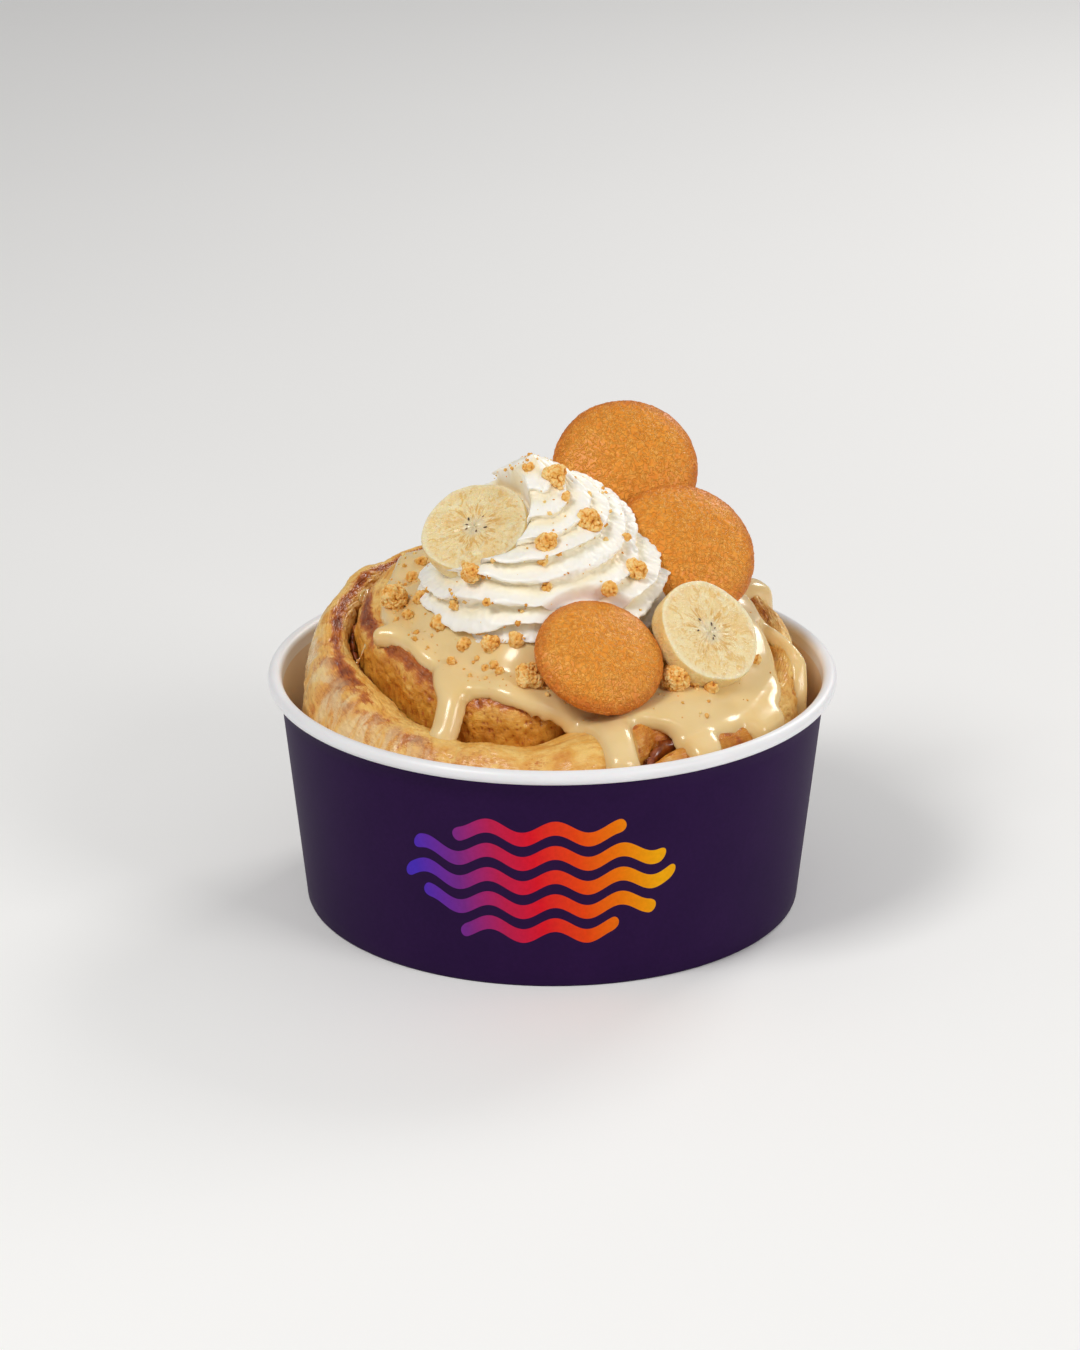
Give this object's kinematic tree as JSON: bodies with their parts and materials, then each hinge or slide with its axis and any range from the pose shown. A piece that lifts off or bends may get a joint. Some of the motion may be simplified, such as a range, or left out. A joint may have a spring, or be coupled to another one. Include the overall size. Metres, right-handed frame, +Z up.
{
  "type": "banana pudding cinnamon roll in a paper bowl",
  "caption": "Large spiral bun under pale pudding sauce and a whipped cream swirl, with wafers, banana slices and biscuit crumbs, filling a round paper bowl.",
  "frame": {"origin": "middle of the bowl's foot, on the surface it stands on", "axes": "+Z up, -Y towards the viewer of the front, +X to the viewer's right"},
  "size_m": [0.1498, 0.1498, 0.1241],
  "materials": {
    "bowl_paper": "printed, satin",
    "dough": "baked, lightly glazed",
    "filling": "sticky, glossy",
    "sauce": "glossy",
    "cream": "soft satin",
    "wafer": "baked, matte",
    "banana": "moist",
    "crumb": "rough, matte"
  },
  "bodies": {
    "root": {"paper_bowl": "bowl_paper", "dough_roll": "dough", "cinnamon_filling": "filling", "pudding_sauce": "sauce", "whipped_cream": "cream", "wafer_top": "wafer", "wafer_middle": "wafer", "wafer_front": "wafer", "banana_slice_left": "banana", "banana_slice_right": "banana", "crumb_left": "crumb", "crumb_front": "crumb", "crumb_right": "crumb", "crumb_small": "crumb", "crumb_cream_high": "crumb", "crumb_cream_upper": "crumb", "crumb_cream_middle": "crumb", "crumb_cream_left": "crumb", "crumb_cream_right": "crumb"}
  },
  "joints": []
}
